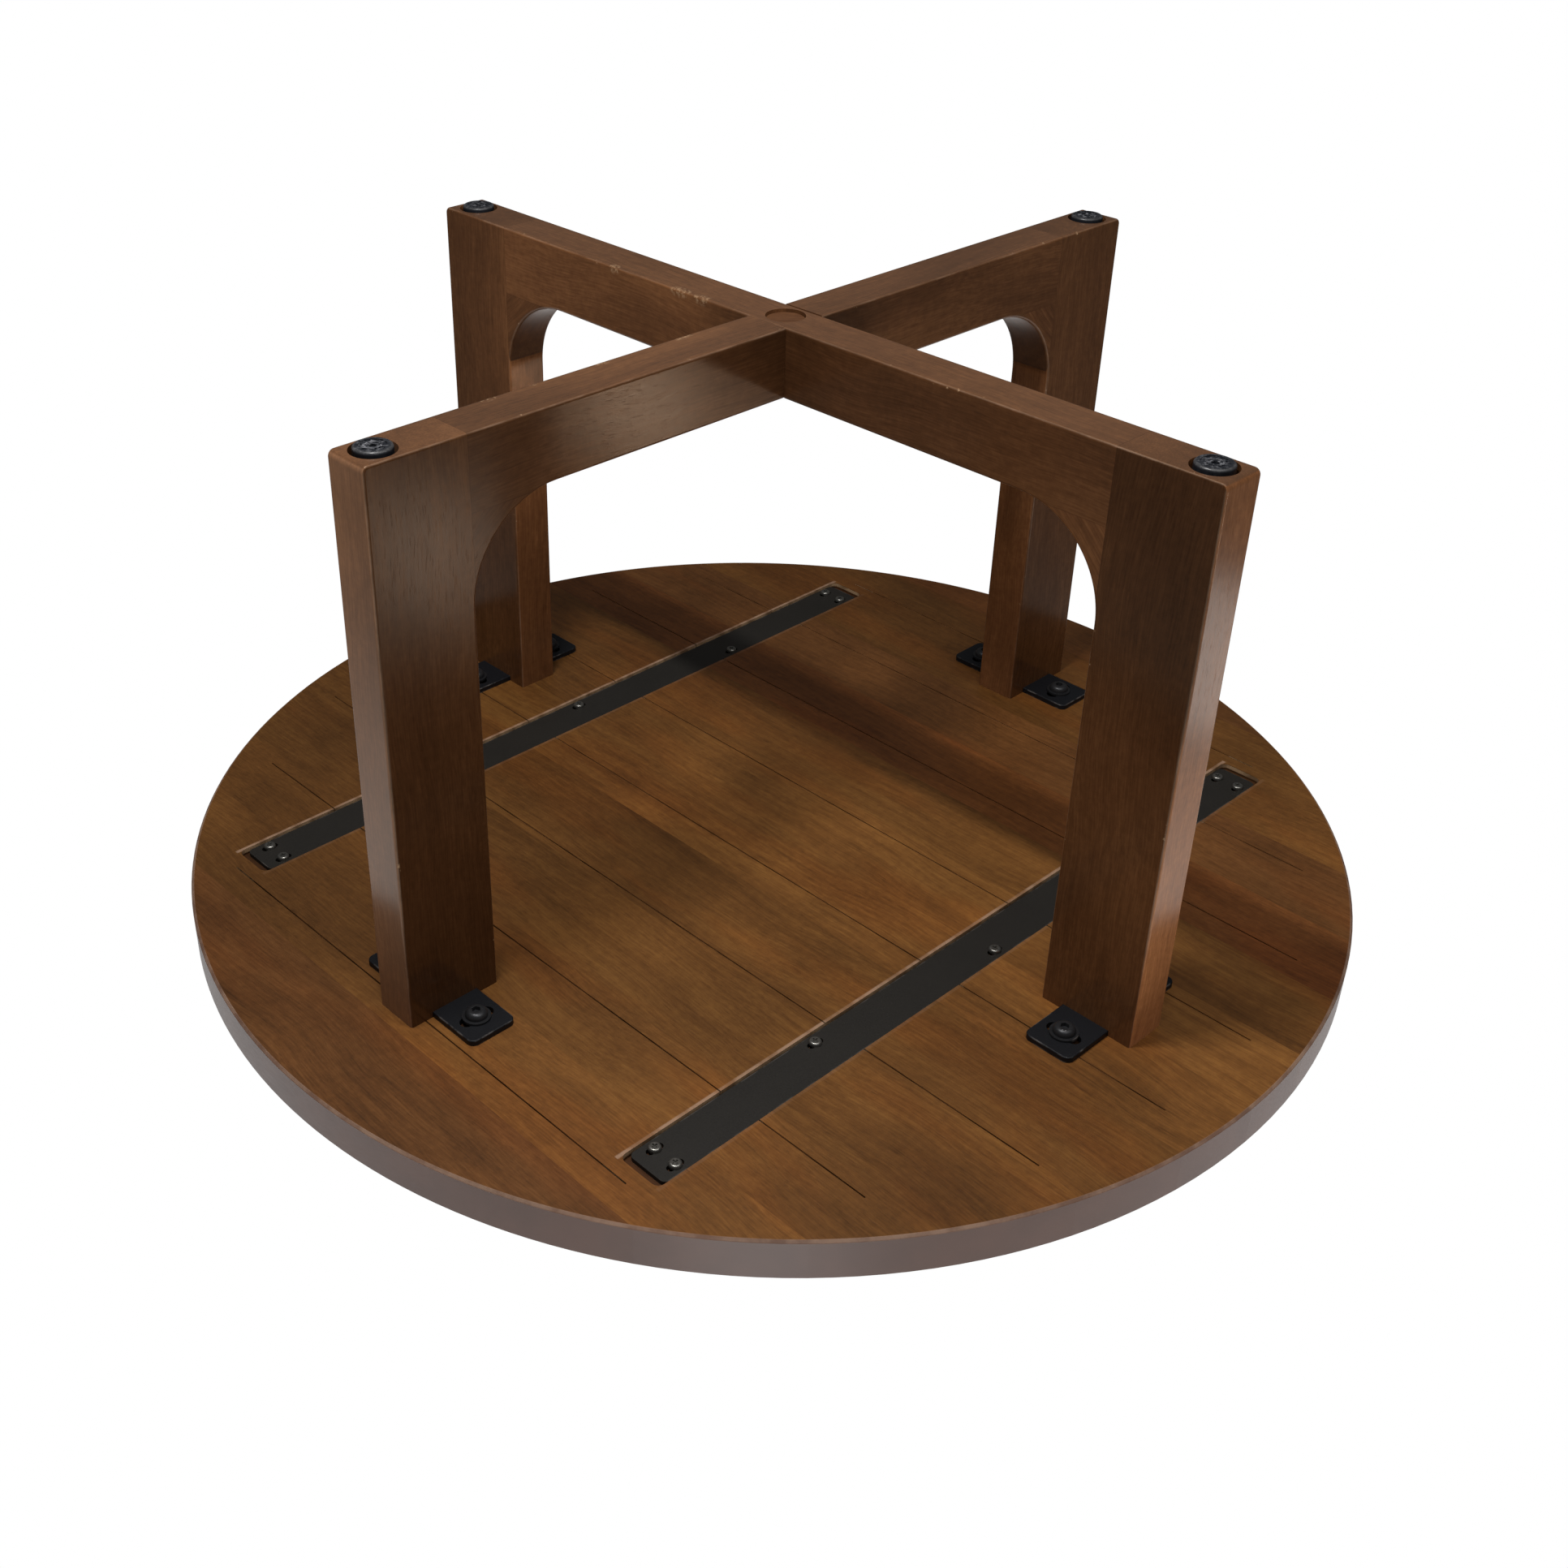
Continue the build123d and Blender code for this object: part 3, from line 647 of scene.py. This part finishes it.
scuffed_nylon = srgb(142, 142, 146)
floor_dirt = srgb(90, 88, 86)

# on a foot pad, from the inside out: full and least scuffing, clean and dirty
scuffed_within, scuffed_less_at = 4.5 * MM, 8.0 * MM
clean_within, dirty_from = 9.0 * MM, 10.0 * MM


def coated_steel(name, colour, grain, rough, rub, spec=0.5, metal=0.0):
    """Coated or blackened steel with a fine texture, rubbed paler along its edges."""
    g = Graph(name)
    grit = g.noise(g.place, grain, 3.0, 0.6)
    cloud = g.noise(g.place, 24.0, 3.0, 0.6)
    tone = g.math("MULTIPLY_ADD", grit, 0.5, 0.55)
    tone = g.math("MULTIPLY_ADD", cloud, 0.4, tone)
    low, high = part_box(name)
    worn = g.fade(g.noise(g.place, 90.0, 4.0, 0.6), 0.45, 0.62)
    edges = g.both(g.near_edges(low, high, 1.0 * MM), worn)
    shown = g.mix(g.math("MULTIPLY", edges, rub), g.scaled(colour, tone), rubbed_metal)
    roughness = g.math("MULTIPLY_ADD", grit, 0.2, rough)
    normal = g.bump(grit, 0.06 * MM, 0.5)
    return g.finish(shown, roughness, normal, specular=spec, metallic=metal)


def paint_steel(name, look):
    paint(name, coated_steel(name, **look))


def dress_metal():
    for side in (1, 2):
        paint_steel(f"steel_channel_{side}", channel_coat)
        paint_steel(f"channel_screws_{side}", channel_screw_steel)
    for number in leg_ways:
        paint_steel(f"mounting_plate_{number}", plate_coat)
    paint_steel("base_bolts", bolt_steel)
    paint_steel("base_washers", washer_steel)
    for name in ("centre_screw", "top_inserts", "plate_screws", "leg_inserts"):
        paint_steel(name, zinc_steel)


def foot_plastic(number):
    """Black nylon pad, scuffed grey where it has stood on the floor."""
    g = Graph(f"plastic_foot_pad_{number}")
    centre = leg_ways[number] * (frame_half_span - foot_end_distance)
    grit = g.noise(g.place, 1500.0, 2.0)
    scratches = g.noise(g.stretched(g.place, Vector((0.6, 0.8, 0)), 0.08), 1400.0, 2.0)
    from_centre = g.vector("DISTANCE", g.place, centre, result="Value")
    scuffed = g.fade(g.noise(g.place, 330.0, 4.0, 0.7), 0.48, 0.64)
    floor_side = g.fade(g.z, 1.4 * MM, 0.6 * MM)
    middle = g.fade(from_centre, scuffed_less_at, scuffed_within, 0.25, 1.0)
    pale = g.both(floor_side, middle, g.either(scuffed, g.fade(scratches, 0.58, 0.68)))
    colour = g.scaled(nylon, g.math("MULTIPLY_ADD", grit, 0.5, 0.75))
    colour = g.mix(g.math("MULTIPLY", pale, 0.7), colour, scuffed_nylon)
    outer_ring = g.fade(from_centre, clean_within, dirty_from)
    colour = g.mix(g.both(outer_ring, floor_side, 0.3), colour, floor_dirt)
    roughness = g.math("MULTIPLY_ADD", scuffed, 0.25, 0.36)
    normal = g.bump(g.math("ADD", grit, scratches), 0.05 * MM, 0.5)
    return g.finish(colour, roughness, normal)


def zinc_thread():
    g = Graph("zinc_thread")
    grit = g.noise(g.place, 800.0, 3.0)
    cloud = g.noise(g.place, 90.0, 3.0, 0.6)
    colour = g.ramp(cloud, [(0.3, srgb(128, 122, 108)), (0.7, srgb(188, 182, 166))])
    roughness = g.math("MULTIPLY_ADD", grit, 0.25, 0.22)
    return g.finish(colour, roughness, g.bump(grit, 0.03 * MM, 0.4), metallic=1.0)


# ---------------------------------------------------------------- threaded studs of the feet
thread_pitch = 1.25 * MM
thread_depth = 0.62 * MM
thread_flat = 0.12
thread_steps_per_turn = 8
thread_sides = 36
stud_chamfer = 0.8 * MM


def thread_radius(outer, phase, to_end):
    """Radius of a threaded rod at a phase of its pitch, chamfered near its ends."""
    flank = (abs(2 * (phase % 1.0) - 1) - thread_flat) / (1 - 2 * thread_flat)
    cut = thread_depth * min(1.0, max(0.0, flank))
    chamfer = max(0.0, stud_chamfer - to_end)
    return outer - max(cut, chamfer)


def threaded_stud(number):
    """A rod with a helical thread, of the same length and diameter as the stud's solid."""
    name = f"foot_stud_{number}"
    low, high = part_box(name)
    middle = (low + high) / 2
    outer = (high.x - low.x) / 2
    length = high.z - low.z
    rows = round(length / thread_pitch * thread_steps_per_turn)
    verts, faces = [], []
    for row in range(rows + 1):
        climb = length * row / rows
        to_end = min(climb, length - climb)
        for side in range(thread_sides):
            angle = 2 * math.pi * side / thread_sides
            phase = climb / thread_pitch - side / thread_sides
            radius = thread_radius(outer, phase, to_end)
            x = middle.x + radius * math.cos(angle)
            y = middle.y + radius * math.sin(angle)
            verts.append((x, y, low.z + climb))
    for first in range(0, rows * thread_sides, thread_sides):
        second = first + thread_sides
        for side in range(thread_sides):
            beside = (side + 1) % thread_sides
            faces.append((first + side, first + beside, second + beside, second + side))
    faces.append(tuple(reversed(range(thread_sides))))
    faces.append(tuple(rows * thread_sides + side for side in range(thread_sides)))
    mesh = bpy.data.meshes.new("thread_" + name)
    mesh.from_pydata(verts, [], faces)
    mesh.update()
    piece = bpy.data.objects.new(f"threaded_stud_{number}", mesh)
    bpy.context.scene.collection.objects.link(piece)
    return piece


def dress_feet():
    zinc = zinc_thread()
    for number in leg_ways:
        paint(f"foot_pad_{number}", foot_plastic(number))
        piece = threaded_stud(number)
        piece.data.materials.append(zinc)
        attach(piece, f"stud_{number}")
        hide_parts(f"foot_stud_{number}")


# ---------------------------------------------------------------- studio
def make_camera():
    """The picture's camera, with +Z pointing down in its view."""
    back = (camera_place - camera_aim).normalized()
    level_right = Vector((back.y, -back.x, 0)).normalized()
    level_up = back.cross(level_right)
    roll = math.radians(camera_roll)
    right = level_right * math.cos(roll) + level_up * math.sin(roll)
    up = back.cross(right)
    data = bpy.data.cameras.new("camera")
    data.lens = camera_lens
    data.sensor_width = camera_sensor
    data.shift_x, data.shift_y = camera_shift
    data.clip_start, data.clip_end = 0.05, 50.0
    camera = bpy.data.objects.new("camera", data)
    camera.matrix_world = Matrix.Translation(camera_place) @ Matrix((right, up, back)).transposed().to_4x4()
    bpy.context.scene.collection.objects.link(camera)
    bpy.context.scene.camera = camera


def make_world():
    """White where it is seen, light from the +Z side, and dark gloss from the -Z side."""
    world = bpy.data.worlds.new("studio")
    world.use_nodes = True
    bpy.context.scene.world = world
    tree = world.node_tree
    rays = tree.nodes.new("ShaderNodeLightPath")
    way = tree.nodes.new("ShaderNodeTexCoord")
    axes = tree.nodes.new("ShaderNodeSeparateXYZ")
    tree.links.new(way.outputs["Generated"], axes.inputs[0])

    def by_height(start, end, low, high):
        level = tree.nodes.new("ShaderNodeMapRange")
        level.interpolation_type = "SMOOTHSTEP"
        for name, value in (("From Min", start), ("From Max", end), ("To Min", low), ("To Max", high)):
            level.inputs[name].default_value = value
        tree.links.new(axes.outputs["Z"], level.inputs["Value"])
        return level.outputs[0]

    level = by_height(0.0, 0.5, ambient_overhead, ambient_floor)
    glossy = by_height(0.42, 0.62, gloss_overhead, white)
    strengths = {"Is Glossy Ray": glossy, "Is Transmission Ray": white, "Is Camera Ray": white}
    for ray, strength in strengths.items():
        blend = tree.nodes.new("ShaderNodeMix")
        tree.links.new(rays.outputs[ray], blend.inputs[0])
        tree.links.new(level, blend.inputs[2])
        if isinstance(strength, float):
            blend.inputs[3].default_value = strength
        else:
            tree.links.new(strength, blend.inputs[3])
        level = blend.outputs[0]
    background = tree.nodes["Background"]
    background.inputs["Color"].default_value = (1, 1, 1, 1)
    tree.links.new(level, background.inputs["Strength"])


floor_rings, floor_sides, floor_reach = 12, 96, 3.2
floor_grey = Vector((0.86, 0.86, 0.86))
floor_clear_from, floor_clear_at = 0.9, 2.6


def disc_mesh(name, rings, sides, reach):
    """A flat disc of rings at z = 0 that faces up."""
    verts, faces = [(0, 0, 0)], []
    for ring in range(1, rings + 1):
        radius = reach * ring / rings
        for side in range(sides):
            angle = 2 * math.pi * side / sides
            verts.append((radius * math.cos(angle), radius * math.sin(angle), 0))
    for side in range(sides):
        beside = (side + 1) % sides
        faces.append((0, 1 + side, 1 + beside))
        for first in range(1, 1 + (rings - 1) * sides, sides):
            second = first + sides
            faces.append((first + side, second + side, second + beside, first + beside))
    mesh = bpy.data.meshes.new(name)
    mesh.from_pydata(verts, [], faces)
    return mesh


def pale_floor():
    """A pale matt floor, clear from below, that fades out into the backdrop."""
    g = Graph("pale_floor")
    speckle = g.noise(g.place, 260.0, 2.0)
    colour = g.scaled(floor_grey, g.math("MULTIPLY_ADD", speckle, 0.02, 0.99))
    g.finish(colour, 0.7, g.bump(speckle, 0.02 * MM, 0.2), specular=0.2)
    away = g.vector("LENGTH", g.place, result="Value")
    below = g.add("ShaderNodeNewGeometry").outputs["Backfacing"]
    clear = g.either(below, g.fade(away, floor_clear_from, floor_clear_at))
    see_through = g.add("ShaderNodeBsdfTransparent")
    blend = g.add("ShaderNodeMixShader")
    g.feed(blend.inputs[0], clear)
    g.feed(blend.inputs[1], g.shader.outputs[0])
    g.feed(blend.inputs[2], see_through.outputs[0])
    g.feed(g.tree.nodes["Material Output"].inputs["Surface"], blend.outputs[0])
    return g.material


def make_floor():
    """The floor under the upright table, which takes its shadow and gives no light back."""
    mesh = disc_mesh("floor", floor_rings, floor_sides, floor_reach)
    mesh.materials.append(pale_floor())
    floor = bpy.data.objects.new("floor", mesh)
    bpy.context.scene.collection.objects.link(floor)
    for ray in ("visible_diffuse", "visible_glossy", "visible_transmission", "visible_shadow"):
        setattr(floor, ray, False)


def lamp(name, place, target, size, share, mirrored=True, tint=(1.0, 1.0, 1.0)):
    """An area lamp, sized across and along its own axes, that gives a share of full light at its target."""
    place, target = Vector(place), Vector(target)
    data = bpy.data.lights.new(name, "AREA")
    data.shape = "RECTANGLE"
    data.size, data.size_y = size
    data.color = tint
    data.energy = share * full_light * (place - target).length_squared
    light = bpy.data.objects.new(name, data)
    light.location = place
    light.visible_camera = False
    light.visible_glossy = mirrored
    light.rotation_mode = "QUATERNION"
    light.rotation_quaternion = (target - place).to_track_quat("-Z", "Y")
    bpy.context.scene.collection.objects.link(light)


def light_underside():
    """The picture's lamps, and three small cards for the sheen on a rail and two legs."""
    base = (0, 0, underside)
    lamp("key", (-0.415, 0.038, -1.015), base, (0.26, 0.05), 0.50)
    lamp("overhead", (-0.1, 0.8, -1.4), base, (1.2, 1.2), 0.28)
    lamp("side_softbox", (1.45, 1.7, 0.99), (0, 0, 0.1), (0.5, 0.5), 0.10, mirrored=False)
    lamp("rail_card", (1.243, 1.558, 0.848), (-0.145, 0.016, 0.02), (0.16, 0.16), 0.012, tint=card_tint)
    lamp("leg_card", (0.86, 1.675, 1.044), (-0.28, 0.016, 0.04), (0.22, 0.20), 0.008)
    lamp("edge_card", (1.004, 0.878, 0.720), (0, 0.322, 0.11), (0.18, 0.18), 0.011)


def light_top():
    """Soft light on the side that the picture doesn't show."""
    top = (0, 0, table_height)
    lamp("top_softbox", (0.3, -0.4, 2.2), top, (1.5, 1.5), 0.2)
    lamp("front_softbox", (-1.5, 1.5, 1.6), top, (1.0, 1.0), 0.12)
    lamp("back_softbox", (1.6, -1.3, 1.3), top, (1.2, 1.2), 0.12)


bpy.context.scene.view_settings.view_transform = "Standard"
make_camera()
make_world()
make_floor()
light_underside()
light_top()
dress_boards()
dress_frames()
dress_joint_wood()
dress_metal()
dress_feet()
